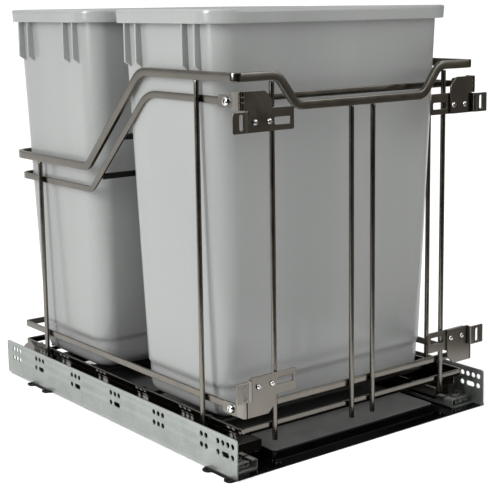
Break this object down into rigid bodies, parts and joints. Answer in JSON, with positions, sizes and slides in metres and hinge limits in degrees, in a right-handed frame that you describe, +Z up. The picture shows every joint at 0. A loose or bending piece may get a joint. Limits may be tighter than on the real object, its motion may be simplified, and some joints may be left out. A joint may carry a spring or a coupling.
{
  "type": "pull out trash cabinet insert",
  "caption": "Pull-out waste unit for a base cabinet: open-top bins in a bar-and-wire carriage on bottom-mounted full-extension slides, with door brackets at the front.",
  "frame": {"origin": "centre of the footprint, on the cabinet floor, under the base pan", "axes": "+X to the right as seen from the door, +Y to the back of the cabinet, +Z up; the unit pulls out along -Y"},
  "size_m": [0.412, 0.533, 0.507],
  "materials": {
    "zinc_steel": "bright zinc plating on rolled steel sheet, faint cloudy grain",
    "black_gloss_sheet": "glossy black coat on steel sheet",
    "dark_nickel": "dark nickel plating, smooth and shiny",
    "chrome_screw": "bright chrome plating",
    "cage_plastic": "off-white bearing plastic",
    "bin_plastic": "light grey moulded polypropylene, satin, very fine texture"
  },
  "bodies": {
    "base": {"left_cabinet_profile": "zinc_steel", "right_cabinet_profile": "zinc_steel", "base_pan": "black_gloss_sheet", "left_profile_rivet": "zinc_steel", "right_profile_rivet": "zinc_steel"},
    "left_intermediate": {"left_intermediate_member": "zinc_steel", "left_intermediate_end_cap": "zinc_steel"},
    "right_intermediate": {"right_intermediate_member": "zinc_steel", "right_intermediate_end_cap": "zinc_steel"},
    "left_lower_cage": {"left_lower_roller_cage": "cage_plastic"},
    "right_lower_cage": {"right_lower_roller_cage": "cage_plastic"},
    "left_upper_cage": {"left_upper_roller_cage": "cage_plastic"},
    "right_upper_cage": {"right_upper_roller_cage": "cage_plastic"},
    "carriage": {"left_runner": "dark_nickel", "right_runner": "dark_nickel", "lower_base_loop": "dark_nickel", "upper_base_loop": "dark_nickel", "top_rail": "dark_nickel", "second_rail": "dark_nickel", "second_rail_front_bar": "dark_nickel", "second_rail_middle_cross_bar": "dark_nickel", "second_rail_rear_cross_bar": "dark_nickel", "left_front_outer_rod": "dark_nickel", "right_front_outer_rod": "dark_nickel", "left_front_inner_rod": "dark_nickel", "right_front_inner_rod": "dark_nickel", "left_side_front_rod": "dark_nickel", "right_side_front_rod": "dark_nickel", "left_side_rear_rod": "dark_nickel", "right_side_rear_rod": "dark_nickel", "left_back_rod": "dark_nickel", "right_back_rod": "dark_nickel", "front_bin_front_wire": "dark_nickel", "front_bin_rear_wire": "dark_nickel", "rear_bin_front_wire": "dark_nickel", "rear_bin_rear_wire": "dark_nickel", "front_runner_strap": "dark_nickel", "rear_runner_strap": "dark_nickel", "upper_left_door_bracket": "dark_nickel", "upper_right_door_bracket": "dark_nickel", "lower_left_door_bracket": "dark_nickel", "lower_right_door_bracket": "dark_nickel", "upper_left_bracket_arm": "dark_nickel", "upper_right_bracket_arm": "dark_nickel", "lower_left_bracket_arm": "dark_nickel", "lower_right_bracket_arm": "dark_nickel", "upper_left_bracket_side_screw": "chrome_screw", "upper_right_bracket_side_screw": "chrome_screw", "lower_left_bracket_side_screw": "chrome_screw", "lower_right_bracket_side_screw": "chrome_screw", "upper_left_bracket_inner_screw": "chrome_screw", "upper_left_bracket_outer_screw": "chrome_screw", "upper_right_bracket_inner_screw": "chrome_screw", "upper_right_bracket_outer_screw": "chrome_screw", "lower_left_bracket_inner_screw": "chrome_screw", "lower_left_bracket_outer_screw": "chrome_screw", "lower_right_bracket_inner_screw": "chrome_screw", "lower_right_bracket_outer_screw": "chrome_screw"},
    "front_bin_body": {"front_bin": "bin_plastic"},
    "rear_bin_body": {"rear_bin": "bin_plastic"}
  },
  "joints": [
    {"name": "carriage_slide", "type": "slide", "parent": "base", "child": "carriage", "axis": [0, -1, 0], "range_m": [0, 0.5]},
    {"name": "left_intermediate_slide", "type": "slide", "parent": "base", "child": "left_intermediate", "axis": [0, -1, 0], "range_m": [0, 0.25]},
    {"name": "right_intermediate_slide", "type": "slide", "parent": "base", "child": "right_intermediate", "axis": [0, -1, 0], "range_m": [0, 0.25]},
    {"name": "left_lower_cage_slide", "type": "slide", "parent": "base", "child": "left_lower_cage", "axis": [0, -1, 0], "range_m": [0, 0.125]},
    {"name": "right_lower_cage_slide", "type": "slide", "parent": "base", "child": "right_lower_cage", "axis": [0, -1, 0], "range_m": [0, 0.125]},
    {"name": "left_upper_cage_slide", "type": "slide", "parent": "base", "child": "left_upper_cage", "axis": [0, -1, 0], "range_m": [0, 0.375]},
    {"name": "right_upper_cage_slide", "type": "slide", "parent": "base", "child": "right_upper_cage", "axis": [0, -1, 0], "range_m": [0, 0.375]},
    {"name": "front_bin_lift", "type": "slide", "parent": "carriage", "child": "front_bin_body", "axis": [0, 0, 1], "range_m": [0, 0.47]},
    {"name": "rear_bin_lift", "type": "slide", "parent": "carriage", "child": "rear_bin_body", "axis": [0, 0, 1], "range_m": [0, 0.47]}
  ],
  "couplings": [
    {"joint": "left_intermediate_slide", "follows": "carriage_slide", "ratio": 0.5},
    {"joint": "right_intermediate_slide", "follows": "carriage_slide", "ratio": 0.5},
    {"joint": "left_lower_cage_slide", "follows": "carriage_slide", "ratio": 0.25},
    {"joint": "right_lower_cage_slide", "follows": "carriage_slide", "ratio": 0.25},
    {"joint": "left_upper_cage_slide", "follows": "carriage_slide", "ratio": 0.75},
    {"joint": "right_upper_cage_slide", "follows": "carriage_slide", "ratio": 0.75}
  ]
}
